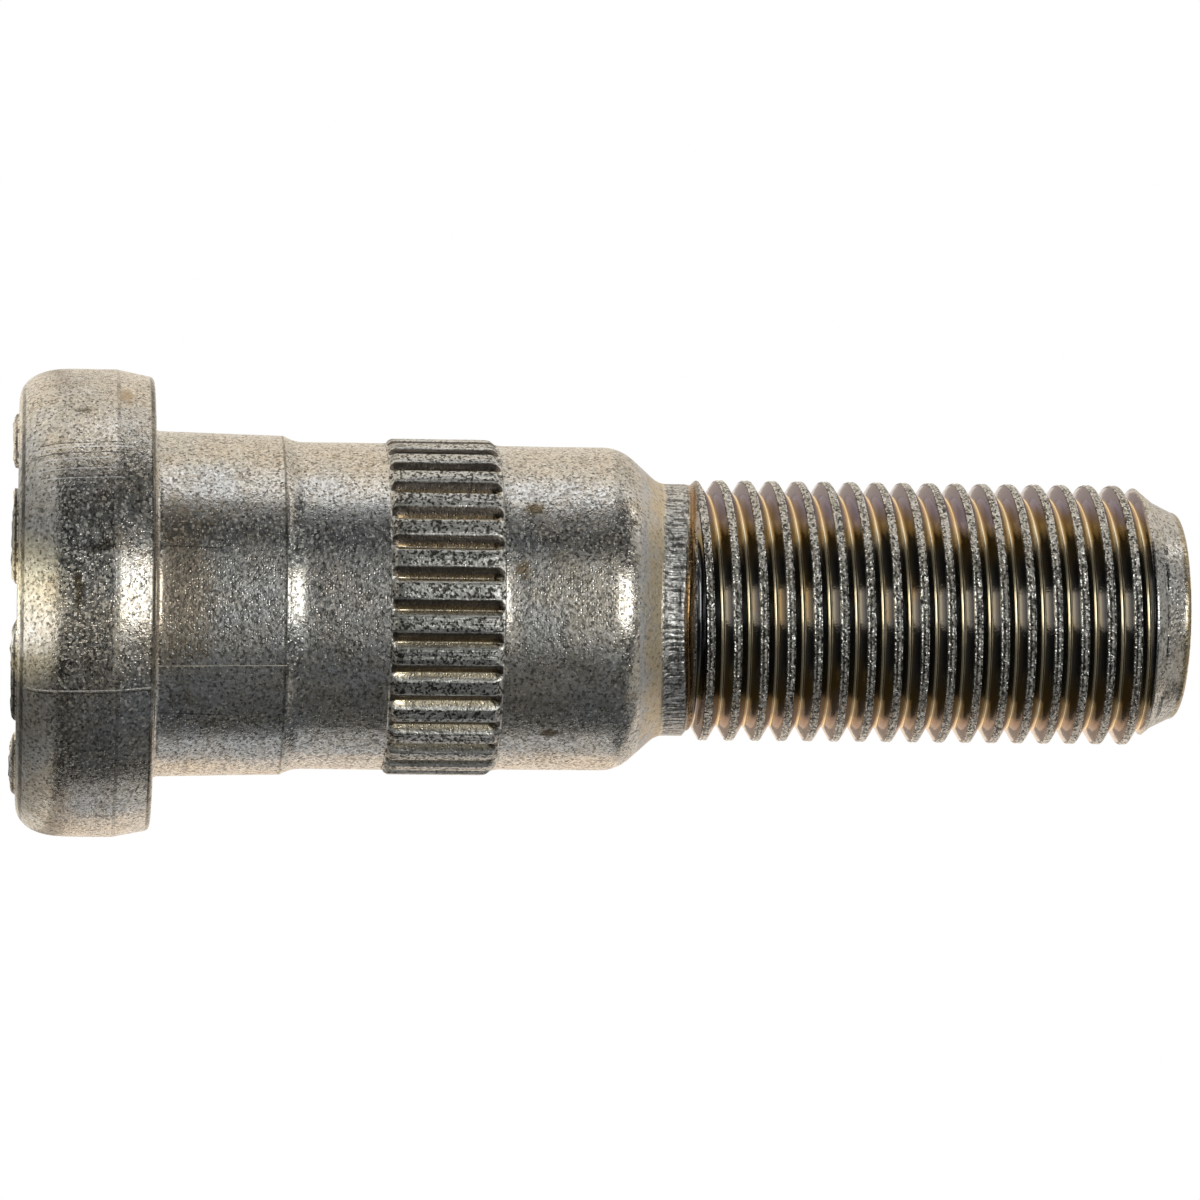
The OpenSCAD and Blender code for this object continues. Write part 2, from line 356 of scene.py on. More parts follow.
def wrapTree(sizes):
    tree = bpy.data.node_groups.new("wrapAndRoll", "GeometryNodeTree")
    given = newInputs(tree, sizes)
    here = addNode(tree, "GeometryNodeInputPosition").outputs[0]
    rowRadius, turn, rowHeight = addNode(tree, "ShaderNodeSeparateXYZ", {0: here}).outputs
    helical, phase = [addNode(tree, "GeometryNodeInputNamedAttribute", {"Name": name},
                              data_type="FLOAT").outputs["Attribute"] for name in ("helical", "phase")]
    plain = calc(tree, "SUBTRACT", 1.0, helical)

    # A thread row climbs with the turn and stops at either end of the thread
    climbed = calc(tree, "ADD", rowHeight, calc(tree, "MULTIPLY", given["Pitch"], turn))
    held = calc(tree, "MINIMUM", calc(tree, "MAXIMUM", climbed, given["Thread Start"]), given["Thread End"])
    height = calc(tree, "ADD", calc(tree, "MULTIPLY", helical, held),
                  calc(tree, "MULTIPLY", plain, rowHeight))
    angle = calc(tree, "MULTIPLY", turn, 2 * math.pi)
    cosine, sine = calc(tree, "COSINE", angle), calc(tree, "SINE", angle)

    # Noise on the finished surface, in millimetres
    wrapped = addNode(tree, "ShaderNodeCombineXYZ", {
        0: calc(tree, "MULTIPLY", cosine, given["Major Radius"]),
        1: calc(tree, "MULTIPLY", sine, given["Major Radius"]), 2: height}).outputs[0]
    wear = calc(tree, "SUBTRACT", noiseOf(tree, wrapped, 2.6, 3.0, 0.7), 0.5)
    waviness = calc(tree, "SUBTRACT", noiseOf(tree, wrapped, 0.45, 2.0), 0.5)

    # Both together, with the forging's slight waviness where there is no thread
    rolled = rolledThread(tree, given, height, angle, phase, wear)
    pressed = pressedKnurl(tree, given, height, turn, rowRadius)
    radius = calc(tree, "ADD", calc(tree, "MULTIPLY", helical, rolled["radius"]),
                  calc(tree, "MULTIPLY", plain, pressed["radius"]))
    uneven = calc(tree, "MULTIPLY", calc(tree, "MULTIPLY", waviness, given["Forge Waviness"]),
                  remap(tree, radius, 0.0, 1.0))
    radius = calc(tree, "ADD", radius, calc(tree, "MULTIPLY", uneven, plain))
    target = addNode(tree, "ShaderNodeVectorMath", {0: addNode(tree, "ShaderNodeCombineXYZ", {
        0: calc(tree, "MULTIPLY", cosine, radius), 1: calc(tree, "MULTIPLY", sine, radius),
        2: height}).outputs[0], "Scale": mm}, operation="SCALE").outputs[0]

    # The finish reads these
    geometry = given["Geometry"]
    marks = {"upperWall": pressed["upperWall"], "lowerWall": pressed["lowerWall"],
             "grooveDepth": pressed["depth"], "knurlMask": pressed["within"],
             "threadDepth": calc(tree, "MULTIPLY", helical, rolled["depth"]),
             "undercut": calc(tree, "MULTIPLY", helical, rolled["undercut"]),
             "threadMask": calc(tree, "MULTIPLY", helical, rolled["shown"])}
    for name, value in marks.items():
        geometry = addNode(tree, "GeometryNodeStoreNamedAttribute", {
            "Geometry": geometry, "Name": name, "Value": value}, data_type="FLOAT", domain="POINT").outputs[0]
    moved = addNode(tree, "GeometryNodeSetPosition", {"Geometry": geometry, "Position": target})
    merged = addNode(tree, "GeometryNodeMergeByDistance", {"Geometry": moved.outputs[0], "Distance": 2e-6})
    smooth = addNode(tree, "GeometryNodeSetShadeSmooth", {"Geometry": merged.outputs[0]})
    real = addNode(tree, "GeometryNodeRealizeInstances", {"Geometry": smooth.outputs[0]})
    coated = addNode(tree, "GeometryNodeSetMaterial", {
        "Geometry": real.outputs[0], "Material": bpy.data.materials["platedSteel"]})
    addNode(tree, "NodeGroupOutput", {0: coated.outputs[0]})
    return tree


# Pads: one block, set round the face by Geometry Nodes

pad = {
    "count": 8, "height": 0.44, "outerRadius": 9.2, "width": 1.5, "gap": 2.3,
    "bevel": 0.3, "sunk": 0.6, "lumpSize": 0.5, "steps": 14,
}


def padBlock(p):
    # An arc with worn edges, centred on +X
    half = math.pi / p["count"] - p["gap"] / p["outerRadius"] / 2
    outer, inner = p["outerRadius"], p["outerRadius"] - p["width"]
    bevel, top = p["bevel"], p["height"] + p["sunk"]
    section = [(inner, top), (inner, bevel), (inner + bevel * 0.3, bevel * 0.3), (inner + bevel, 0.0),
               (outer - bevel, 0.0), (outer - bevel * 0.3, bevel * 0.3), (outer, bevel), (outer, top)]
    middle = (outer + inner) / 2
    steps = p["steps"]
    # The ends are rounded by pulling the last sections in and up
    shrinks = {0: 0.45, 1: 0.85, steps - 1: 0.85, steps: 0.45}
    points, faces = [], []
    for step in range(steps + 1):
        angle = half * (2 * step / steps - 1)
        shrink = shrinks.get(step, 1.0)
        lift = bevel * (1 - shrink)
        for r, z in section:
            radius = middle + (r - middle) * shrink
            points.append((radius * math.cos(angle) * mm, radius * math.sin(angle) * mm, max(z, lift) * mm))
    count = len(section)
    for step in range(steps):
        a, b = step * count, (step + 1) * count
        faces += [(a + k, a + (k + 1) % count, b + (k + 1) % count, b + k) for k in range(count)]
    faces.append(tuple(range(count)))
    faces.append(tuple(steps * count + k for k in reversed(range(count))))
    mesh = bpy.data.meshes.new("padBlock")
    mesh.from_pydata(points, [], faces)
    solid = bmesh.new()
    solid.from_mesh(mesh)
    bmesh.ops.recalc_face_normals(solid, faces=solid.faces)
    solid.to_mesh(mesh)
    solid.free()
    return mesh


def ringTree(sizes):
    tree = bpy.data.node_groups.new("padRing", "GeometryNodeTree")
    given = newInputs(tree, sizes)
    line = addNode(tree, "GeometryNodeMeshLine", {"Offset": (0.0, 0.0, 0.0)}, mode="OFFSET")
    tree.links.new(given["Pad Count"], line.inputs["Count"])
    index = addNode(tree, "GeometryNodeInputIndex").outputs[0]
    turned = calc(tree, "DIVIDE", calc(tree, "MULTIPLY", calc(tree, "ADD", index, 0.5), 2 * math.pi),
                  given["Pad Count"])
    rotation = addNode(tree, "ShaderNodeCombineXYZ", {2: turned}).outputs[0]
    copies = addNode(tree, "GeometryNodeInstanceOnPoints", {
        "Points": line.outputs[0], "Instance": given["Geometry"], "Rotation": rotation})
    real = addNode(tree, "GeometryNodeRealizeInstances", {"Geometry": copies.outputs[0]})
    # Struck metal is lumpy: it moves sideways and up, and never below the floor
    here = addNode(tree, "GeometryNodeInputPosition").outputs[0]
    lumps = addNode(tree, "ShaderNodeTexNoise", {"Vector": here, "Scale": 1100.0, "Detail": 1.0})
    centred = addNode(tree, "ShaderNodeVectorMath", {0: lumps.outputs["Color"], 1: (0.5, 0.5, 0.3)},
                      operation="SUBTRACT").outputs[0]
    moved = addNode(tree, "ShaderNodeVectorMath", {0: centred, "Scale": given["Lump Size"]},
                    operation="SCALE").outputs[0]
    risen = addNode(tree, "ShaderNodeVectorMath", {0: moved, 1: (-1.0, -1.0, 0.0)},
                    operation="MAXIMUM").outputs[0]
    lumpy = addNode(tree, "GeometryNodeSetPosition", {"Geometry": real.outputs[0], "Offset": risen})
    smooth = addNode(tree, "GeometryNodeSetShadeSmooth", {"Geometry": lumpy.outputs[0]})
    coated = addNode(tree, "GeometryNodeSetMaterial", {
        "Geometry": smooth.outputs[0], "Material": bpy.data.materials["platedSteel"]})
    addNode(tree, "NodeGroupOutput", {0: coated.outputs[0]})
    return tree


# Finish: zinc plate with a thin chromate film, speckled, stained and scuffed, with painted shade and
# highlights on the thread and in the knurl's grooves

finish = {
    "plate": (0.60, 0.60, 0.585), "warmPlate": (0.66, 0.605, 0.515), "faceBeige": (0.80, 0.73, 0.60),
    "pepper": (0.10, 0.095, 0.085), "salt": (0.95, 0.95, 0.94), "smudge": (0.36, 0.30, 0.22),
    "hollowGrey": (0.66, 0.66, 0.66), "hollowBrown": (0.74, 0.63, 0.45), "nicked": (0.66, 0.66, 0.64),
    # Painted light in this table: the land-edge colour and the gold groove and root colours are painted
    # highlights; the dark and brown groove colours and the near-black flank colour are painted shade
    "land": (0.62, 0.62, 0.59), "landEdgeHighlight": (0.95, 0.94, 0.88),
    "grooveWallShade": (0.12, 0.10, 0.08), "grooveShadeBrown": (0.44, 0.30, 0.13), "grooveRootHighlight": (0.85, 0.74, 0.52),
    "crest": (0.92, 0.92, 0.87), "steel": (0.30, 0.32, 0.335), "flankShade": (0.10, 0.095, 0.10),
    "bronze": (0.37, 0.285, 0.16), "amber": (0.46, 0.30, 0.12),
    "violet": (0.44, 0.40, 0.45), "rose": (0.56, 0.46, 0.40),
    "rootGoldHighlight": (0.96, 0.86, 0.64), "rootOrangeHighlight": (0.97, 0.74, 0.43), "threadStartBrown": (0.30, 0.19, 0.09),
}
# Noise scales are for 1 mm, and the heights along the stud are in mm
coat = {
    "grainScale": 9.0, "fineScale": 6.5, "dentScale": 4.2, "mottleScale": 2.4, "patchScale": 0.9,
    "cloudScale": 0.22, "driftScale": 0.3, "tintScale": 0.42, "streaks": (6.0, 6.0, 0.9),
    "hollowStart": 29.5, "neckStart": 30.65, "neckEnd": 32.4,
    "plateRough": (0.13, 0.19), "grainRough": 0.45, "dullRough": 0.42, "crestRough": 0.26,
    "flankRough": (0.13, 0.22), "dullMetal": 0.35, "bumpDepth": 0.000011,
}


# Marks are placed by height, by degrees round from the camera's side towards -X, and by half sizes in mm
scratches = [
    {"from": (0.8, -20.6), "to": (6.5, -19.8), "half": 0.035, "shade": (0.95, 0.93, 0.86)},
    {"from": (0.8, -21.3), "to": (6.5, -20.5), "half": 0.03, "shade": (0.10, 0.09, 0.07)},
    {"from": (6.9, -19.5), "to": (12.9, -19.2), "half": 0.028, "shade": (0.85, 0.80, 0.66)},
    {"from": (6.9, 20.4), "to": (9.6, 19.9), "half": 0.035, "shade": (0.12, 0.10, 0.08)},
    {"from": (6.9, -37.0), "to": (10.2, -38.2), "half": 0.03, "shade": (0.10, 0.10, 0.10)},
    {"from": (1.3, 42.4), "to": (5.2, 43.6), "half": 0.045, "shade": (0.10, 0.10, 0.10)},
    {"from": (1.2, 41.0), "to": (5.6, 42.4), "half": 0.045, "shade": (0.92, 0.92, 0.92)},
    {"from": (1.2, 39.2), "to": (5.4, 40.4), "half": 0.035, "shade": (0.12, 0.12, 0.12)},
    {"from": (1.1, 37.4), "to": (4.6, 38.6), "half": 0.045, "shade": (0.90, 0.90, 0.90)},
    {"from": (1.1, 34.4), "to": (4.8, 35.6), "half": 0.035, "shade": (0.85, 0.85, 0.85)},
    {"from": (1.4, 32.0), "to": (5.2, 32.8), "half": 0.03, "shade": (0.80, 0.80, 0.80)},
]
stains = [
    {"at": (24.35, 38.2), "half": (0.6, 0.42), "shade": (0.16, 0.11, 0.05)},
    {"at": (23.8, 14.9), "half": (0.5, 0.45), "shade": (0.30, 0.22, 0.12)},
    {"at": (25.3, -48.1), "half": (0.55, 0.28), "shade": (0.12, 0.08, 0.04)},
    {"at": (29.1, 34.1), "half": (0.3, 0.25), "shade": (0.12, 0.10, 0.07)},
    {"at": (7.9, 8.0), "half": (1.6, 4.6), "shade": (0.47, 0.40, 0.31)},
    {"at": (4.2, 14.5), "half": (0.8, 0.3), "shade": (0.10, 0.09, 0.07)},
    {"at": (3.1, 3.0), "half": (0.25, 1.4), "shade": (0.20, 0.16, 0.10)},
    {"at": (3.3, 55.0), "half": (0.5, 0.25), "shade": (0.16, 0.14, 0.10)},
    {"at": (5.3, 63.0), "half": (0.3, 0.9), "shade": (0.42, 0.33, 0.22)},
]


# Dark seams run all the way round: before the collar's step, on the head and its rims, and at the tip
seams = [
    {"at": 12.76, "half": 0.07, "depth": 0.85, "shade": (0.16, 0.145, 0.12)},
    {"at": 6.54, "half": 0.12, "depth": 0.9, "shade": (0.13, 0.12, 0.10)},
    {"at": 4.95, "half": 0.12, "depth": 0.45, "shade": (0.16, 0.145, 0.12)},
    {"at": 0.55, "half": 0.11, "depth": 1.0, "shade": (0.13, 0.12, 0.10)},
    {"at": 0.22, "half": 0.07, "depth": 1.0, "shade": (0.10, 0.09, 0.08)},
    {"at": 55.75, "half": 0.26, "depth": 0.75, "shade": (0.42, 0.32, 0.16)},
]


def mixed(tree, factor, first, second):
    first, second = [(*c, 1) if isinstance(c, tuple) else c for c in (first, second)]
    return addNode(tree, "ShaderNodeMix", {0: factor, 6: first, 7: second}, data_type="RGBA").outputs[2]


def blended(tree, factor, first, second):
    return addNode(tree, "ShaderNodeMix", {0: factor, 2: first, 3: second}).outputs[0]


def storedMark(tree, name):
    return addNode(tree, "ShaderNodeAttribute", attribute_name=name).outputs["Fac"]


def findZones(tree, scaled):
    # Where the finish differs, as masks from 0 to 1
    sideways, forwards, up = addNode(tree, "ShaderNodeSeparateXYZ", {0: scaled}).outputs
    inThread, threadDepth = storedMark(tree, "threadMask"), storedMark(tree, "threadDepth")
    grooveDepth, inKnurl = storedMark(tree, "grooveDepth"), storedMark(tree, "knurlMask")
    flank = calc(tree, "MULTIPLY", inThread, remap(tree, threadDepth, 0.06, 0.16))
    # The neck's marks follow the same wave as the thread's start
    sideSquare = calc(tree, "MULTIPLY", sideways, sideways)
    frontSquare = calc(tree, "MULTIPLY", forwards, forwards)
    twice = calc(tree, "DIVIDE", calc(tree, "SUBTRACT", sideSquare, frontSquare),
                 calc(tree, "MAXIMUM", calc(tree, "ADD", sideSquare, frontSquare), 0.01))
    waved = calc(tree, "SUBTRACT", up, calc(tree, "MULTIPLY", twice, thread["Rise Wave"]))
    hollowStart, neckStart, neckEnd = coat["hollowStart"], coat["neckStart"], coat["neckEnd"]
    hollow = calc(tree, "MULTIPLY", remap(tree, waved, hollowStart, hollowStart + 0.1),
                  remap(tree, waved, neckStart, neckStart + 0.15, 1.0, 0.0))
    neck = calc(tree, "MULTIPLY", remap(tree, waved, neckStart, neckStart + 0.15),
                remap(tree, up, neckEnd, neckEnd + 0.2, 1.0, 0.0))
    neck = calc(tree, "MULTIPLY", neck, remap(tree, storedMark(tree, "undercut"), 0.0, 0.3, 1.0, 0.0))
    neck = calc(tree, "MULTIPLY", neck, calc(tree, "SUBTRACT", 1.0, inThread))
    return {"sideways": sideways, "up": up, "waved": waved, "hollow": hollow, "neck": neck,
            "land": calc(tree, "MULTIPLY", inKnurl, calc(tree, "SUBTRACT", 1.0, grooveDepth)),
            "flank": flank, "crest": calc(tree, "SUBTRACT", inThread, flank), "threadDepth": threadDepth}


def grainyNoise(tree, scaled):
    grains = addNode(tree, "ShaderNodeTexVoronoi", {"Vector": scaled, "Scale": coat["grainScale"]}).outputs
    random, other, third = addNode(tree, "ShaderNodeSeparateColor", {0: grains["Color"]}).outputs
    stretched = addNode(tree, "ShaderNodeVectorMath", {0: scaled, 1: coat["streaks"]},
                        operation="MULTIPLY").outputs[0]
    return {"random": random, "other": other, "third": third,
            "craters": calc(tree, "MULTIPLY", remap(tree, grains["Distance"], 0.1, 0.5, 1.0, 0.0),
                            calc(tree, "GREATER_THAN", third, 0.7)),
            "fine": noiseOf(tree, scaled, coat["fineScale"], 2.0, 0.75),
            "dents": noiseOf(tree, scaled, coat["dentScale"], 2.0, 0.7),
            "mottle": noiseOf(tree, scaled, coat["mottleScale"], 3.0, 0.6),
            "patches": noiseOf(tree, scaled, coat["patchScale"], 4.0, 0.6),
            "clouds": noiseOf(tree, scaled, coat["cloudScale"], 3.0, 0.6),
            "nicks": noiseOf(tree, stretched, 1.0, 1.0), "streaks": noiseOf(tree, stretched, 0.45, 2.0)}


def plateColour(tree, zones, noise):
    # The plate itself, speckled dark and light
    up, patches = zones["up"], noise["patches"]
    colour = mixed(tree, remap(tree, noise["clouds"], 0.38, 0.62), finish["plate"], finish["warmPlate"])
    colour = mixed(tree, remap(tree, patches, 0.54, 0.72, 0.0, 0.55), colour, finish["smudge"])
    colour = mixed(tree, zones["crest"], colour, finish["crest"])
    nicked = mixed(tree, remap(tree, noise["nicks"], 0.52, 0.42, 0.0, 0.85),
                   finish["nicked"], finish["pepper"])
    colour = mixed(tree, zones["neck"], colour, nicked)
    colour = mixed(tree, zones["land"], colour, finish["land"])
    # The hollow between the taper and the neck browns towards the thread
    browned = calc(tree, "ADD", zones["waved"], calc(
        tree, "MULTIPLY", calc(tree, "SUBTRACT", patches, 0.5), 3.0))
    hollow = mixed(tree, remap(tree, browned, coat["hollowStart"], coat["hollowStart"] + 0.8),
                   finish["hollowGrey"], finish["hollowBrown"])
    colour = mixed(tree, calc(tree, "MULTIPLY", zones["hollow"], 0.9), colour, hollow)
    colour = mixed(tree, remap(tree, up, 0.6, 0.4), colour, finish["faceBeige"])
    speckle = calc(tree, "ADD", calc(tree, "MULTIPLY", noise["random"], 0.6),
                   calc(tree, "MULTIPLY", noise["fine"], 0.8))
    speckle = blended(tree, calc(tree, "MULTIPLY", zones["hollow"], 0.35), speckle, 0.65)
    colour = mixed(tree, remap(tree, speckle, 0.74, 1.02, 0.0, 0.85), colour, finish["pepper"])
    # Crests, lands and the head's face are the most pitted
    mostPitted = calc(tree, "MAXIMUM", calc(tree, "MAXIMUM", zones["crest"], zones["land"]),
                      remap(tree, up, 0.5, 0.3, 0.0, 0.8))
    pitted = calc(tree, "MULTIPLY", remap(tree, speckle, 0.72, 0.84), mostPitted)
    colour = mixed(tree, pitted, colour, finish["pepper"])
    return mixed(tree, remap(tree, speckle, 0.56, 0.36, 0.0, 0.6), colour, finish["salt"])


def markedColour(tree, scaled, random, colour):
    x, y, up = addNode(tree, "ShaderNodeSeparateXYZ", {0: scaled}).outputs
    angle = calc(tree, "ARCTAN2", calc(tree, "MULTIPLY", x, -1.0), calc(tree, "MULTIPLY", y, -1.0))
    radius = calc(tree, "SQRT", calc(tree, "ADD", calc(tree, "MULTIPLY", x, x), calc(tree, "MULTIPLY", y, y)))

    def sideways(turned):
        return calc(tree, "MULTIPLY", radius, calc(tree, "SUBTRACT", angle, turned))

    uneven = noiseOf(tree, scaled, 1.1, 3.0, 0.7)
    ragged = calc(tree, "ADD", calc(tree, "MULTIPLY", calc(tree, "SUBTRACT", random, 0.5), 0.7),
                  calc(tree, "MULTIPLY", calc(tree, "SUBTRACT", uneven, 0.5), 1.6))
    for mark in stains:
        rise = calc(tree, "DIVIDE", calc(tree, "SUBTRACT", up, mark["at"][0]), mark["half"][0])
        across = calc(tree, "DIVIDE", sideways(math.radians(mark["at"][1])), mark["half"][1])
        away = calc(tree, "SQRT", calc(tree, "ADD", calc(tree, "MULTIPLY", rise, rise),
                                       calc(tree, "MULTIPLY", across, across)))
        mask = remap(tree, calc(tree, "ADD", away, ragged), 1.1, 0.5, 0.0, 0.85)
        colour = mixed(tree, mask, colour, mark["shade"])
    broken = remap(tree, uneven, 0.35, 0.55, 0.5, 1.0)
    for mark in seams:
        away = calc(tree, "ABSOLUTE", calc(tree, "SUBTRACT", up, mark["at"]))
        mask = remap(tree, away, mark["half"], mark["half"] * 0.5, 0.0, mark["depth"])
        colour = mixed(tree, calc(tree, "MULTIPLY", mask, broken), colour, mark["shade"])
    worn = remap(tree, random, 0.0, 0.25, 0.3, 1.0)
    dull = 0.0
    for mark in scratches:
        (low, first), (high, last) = mark["from"], mark["to"]
        line = remap(tree, up, low, high, math.radians(first), math.radians(last))
        across = calc(tree, "ABSOLUTE", sideways(line))
        inside = calc(tree, "MULTIPLY", calc(tree, "GREATER_THAN", up, low),
                      calc(tree, "LESS_THAN", up, high))
        mask = calc(tree, "MULTIPLY", remap(tree, across, mark["half"], mark["half"] * 0.4), inside)
        mask = calc(tree, "MULTIPLY", mask, worn)
        colour = mixed(tree, mask, colour, mark["shade"])
        if mark["shade"][0] > 0.5:
            dull = calc(tree, "MAXIMUM", dull, mask)
    return colour, dull


def threadColour(tree, scaled, zones):
    # Flank tints in patches round the stud, laid out across the view as the camera sees it, so they also
    # paint the flanks' reflections and shade, with a painted gold highlight in the root
    sideways, threadDepth = zones["sideways"], zones["threadDepth"]
    drift = calc(tree, "MULTIPLY", calc(
        tree, "SUBTRACT", noiseOf(tree, scaled, coat["driftScale"], 2.0), 0.5), 3.0)
    across = calc(tree, "ADD", calc(tree, "ABSOLUTE", sideways), drift)
    tinted = remap(tree, noiseOf(tree, scaled, coat["tintScale"], 2.0), 0.52, 0.72, 0.0, 0.6)
    middle = mixed(tree, tinted, finish["steel"], finish["bronze"])
    # The bands go by the distance across the view, so besides the film's tints they paint the flanks'
    # reflections
    filmAndPaintedLight = mixed(tree, remap(tree, across, 2.2, 3.6), middle, finish["bronze"])
    outer = mixed(tree, remap(tree, calc(tree, "ADD", sideways, drift), -1.0, 1.0),
                  finish["violet"], finish["rose"])
    filmAndPaintedLight = mixed(tree, remap(tree, across, 4.2, 5.2), filmAndPaintedLight, outer)
    # Painted shade: the crest half of the flanks darkens in the middle of the view
    flankShadeMask = calc(tree, "MULTIPLY", remap(tree, threadDepth, 0.5, 0.7, 0.75, 0.0),
                    remap(tree, across, 2.4, 3.6, 1.0, 0.0))
    filmAndPaintedLight = mixed(tree, flankShadeMask, filmAndPaintedLight, finish["flankShade"])
    tipwards = remap(tree, storedMark(tree, "phase"), 0.44, 0.5, 1.0, 0.0)
    deep = remap(tree, threadDepth, 0.45, 0.8, 0.0, 0.55)
    filmAndPaintedLight = mixed(tree, calc(tree, "MULTIPLY", tipwards, deep), filmAndPaintedLight, finish["amber"])
    # The root's gold film, painted bright as a highlight line, orange towards the limbs of the view
    root = mixed(tree, remap(tree, across, 3.4, 5.0), finish["rootGoldHighlight"], finish["rootOrangeHighlight"])
    return mixed(tree, remap(tree, threadDepth, 0.86, 0.96), filmAndPaintedLight, root)


def groovedColour(tree, noise, colour):
    # Painted shade on the upper wall, browner towards the root, and a pale gold painted highlight on the
    # lower wall by the root
    upperWall, lowerWall = storedMark(tree, "upperWall"), storedMark(tree, "lowerWall")
    wallShade = mixed(tree, remap(tree, upperWall, 0.6, 1.0, 0.0, 0.6),
                       finish["grooveWallShade"], finish["grooveShadeBrown"])
    colour = mixed(tree, remap(tree, upperWall, 0.08, 0.2, 0.0, 0.95), colour, wallShade)
    # Painted highlight on the lower wall, strongest by the root
    colour = mixed(tree, remap(tree, lowerWall, 0.2, 0.8, 0.0, 0.85), colour, finish["grooveRootHighlight"])
    # Painted highlights along the lands' edges, broken up by mottling
    upperEdge = calc(tree, "MULTIPLY", remap(tree, upperWall, 0.0, 0.02), remap(tree, upperWall, 0.12, 0.06))
    lowerEdge = calc(tree, "MULTIPLY", remap(tree, lowerWall, 0.0, 0.05), remap(tree, lowerWall, 0.35, 0.2))
    edgeHighlight = calc(tree, "MULTIPLY", calc(tree, "MAXIMUM", upperEdge, lowerEdge),
                  remap(tree, noise["mottle"], 0.35, 0.55, 0.2, 0.9))
    return mixed(tree, edgeHighlight, colour, finish["landEdgeHighlight"])


def coatRoughness(tree, zones, noise):
    plate, flanks = coat["plateRough"], coat["flankRough"]
    rough = remap(tree, noise["mottle"], 0.3, 0.7, plate[0], plate[1])
    rough = calc(tree, "ADD", rough, calc(
        tree, "MULTIPLY", calc(tree, "POWER", noise["other"], 4.0), coat["grainRough"]))
    dullest = calc(tree, "MAXIMUM", zones["land"], calc(tree, "MAXIMUM", zones["neck"], zones["hollow"]))
    rough = blended(tree, dullest, rough, coat["dullRough"])
    rough = blended(tree, zones["crest"], rough, coat["crestRough"])
    flankRough = remap(tree, zones["threadDepth"], 0.86, 0.96, flanks[0], flanks[1])
    return blended(tree, zones["flank"], rough, flankRough)


def coatRelief(tree, zones, noise):
    # Pits everywhere, streaks on the neck and the lands, dents on the crests
    height = calc(tree, "ADD", noise["fine"], calc(tree, "MULTIPLY", noise["mottle"], 1.2))
    height = calc(tree, "SUBTRACT", height, calc(tree, "MULTIPLY", noise["craters"], 1.1))
    height = calc(tree, "ADD", height, calc(
        tree, "MULTIPLY", calc(tree, "MULTIPLY", noise["nicks"], 9.0), zones["neck"]))
    dented = calc(tree, "ADD", calc(tree, "MULTIPLY", zones["crest"], 3.2),
                  calc(tree, "MULTIPLY", zones["land"], 0.5))
    height = calc(tree, "ADD", height, calc(
        tree, "MULTIPLY", calc(tree, "MULTIPLY", noise["dents"], 5.0), dented))
    height = calc(tree, "ADD", height, calc(
        tree, "MULTIPLY", calc(tree, "MULTIPLY", noise["streaks"], 9.0), zones["land"]))
    # The rolled flanks are smoother
    return calc(tree, "MULTIPLY", height, calc(
        tree, "SUBTRACT", 1.0, calc(tree, "MULTIPLY", zones["flank"], 0.8)))


def platedSteel():
    material = bpy.data.materials.new("platedSteel")
    material.use_nodes = True
    tree = material.node_tree
    shader = tree.nodes["Principled BSDF"]
    coords = addNode(tree, "ShaderNodeTexCoord").outputs["Object"]
    scaled = addNode(tree, "ShaderNodeVectorMath", {0: coords, "Scale": 1 / mm}, operation="SCALE").outputs[0]
    zones, noise = findZones(tree, scaled), grainyNoise(tree, scaled)

    colour = plateColour(tree, zones, noise)
    colour, dull = markedColour(tree, scaled, noise["third"], colour)
    colour = mixed(tree, zones["flank"], colour, threadColour(tree, scaled, zones))
    colour = groovedColour(tree, noise, colour)
    startBrown = remap(tree, storedMark(tree, "undercut"), 0.2, 0.7)
    colour = mixed(tree, startBrown, colour, finish["threadStartBrown"])
    tree.links.new(colour, shader.inputs["Base Color"])
    # The bright scratches have lost their shine
    tree.links.new(remap(tree, dull, 0.0, 1.0, 1.0, coat["dullMetal"]), shader.inputs["Metallic"])
    tree.links.new(coatRoughness(tree, zones, noise), shader.inputs["Roughness"])
    bump = addNode(tree, "ShaderNodeBump", {
        "Height": coatRelief(tree, zones, noise), "Strength": 1.0, "Distance": coat["bumpDepth"]})
    tree.links.new(bump.outputs[0], shader.inputs["Normal"])
    return material


def buildStud():
    sheet = bpy.data.objects.new("sheet", unrolledSheet(stud))
    bpy.context.scene.collection.objects.link(sheet)
    sizes = {**thread, **knurl}
    body = bakeModifier(sheet, wrapTree(sizes), sizes)
    print("stud wrapped:", len(body.polygons), "faces")

    block = bpy.data.objects.new("block", padBlock(pad))
    bpy.context.scene.collection.objects.link(block)
    ringSizes = {"Pad Count": pad["count"], "Lump Size": pad["lumpSize"] * mm}
    ring = bakeModifier(block, ringTree(ringSizes), ringSizes)
    print("pads set:", len(ring.polygons), "faces")

    joined = bmesh.new()
    joined.from_mesh(body)
    joined.from_mesh(ring)
    # A face that the merging left without area goes, and all faces point outwards
    bmesh.ops.dissolve_degenerate(joined, dist=1e-7, edges=joined.edges)
    bmesh.ops.recalc_face_normals(joined, faces=joined.faces)
    mesh = bpy.data.meshes.new("wheelStud")
    joined.to_mesh(mesh)
    openEdges = sum(1 for edge in joined.edges if len(edge.link_faces) != 2)
    print("stud joined:", len(mesh.polygons), "faces,", openEdges, "open edges")
    joined.free()
    mesh.materials.clear()
    mesh.materials.append(bpy.data.materials["platedSteel"])
    for polygon in mesh.polygons:
        polygon.use_smooth = True
    for helper in (sheet, block):
        bpy.data.objects.remove(helper)
    piece = bpy.data.objects.new("wheelStud", mesh)
    bpy.context.scene.collection.objects.link(piece)
    return piece


# Studio: a pale floor, bright panels behind, dim ones in front, and bright rings on the floor

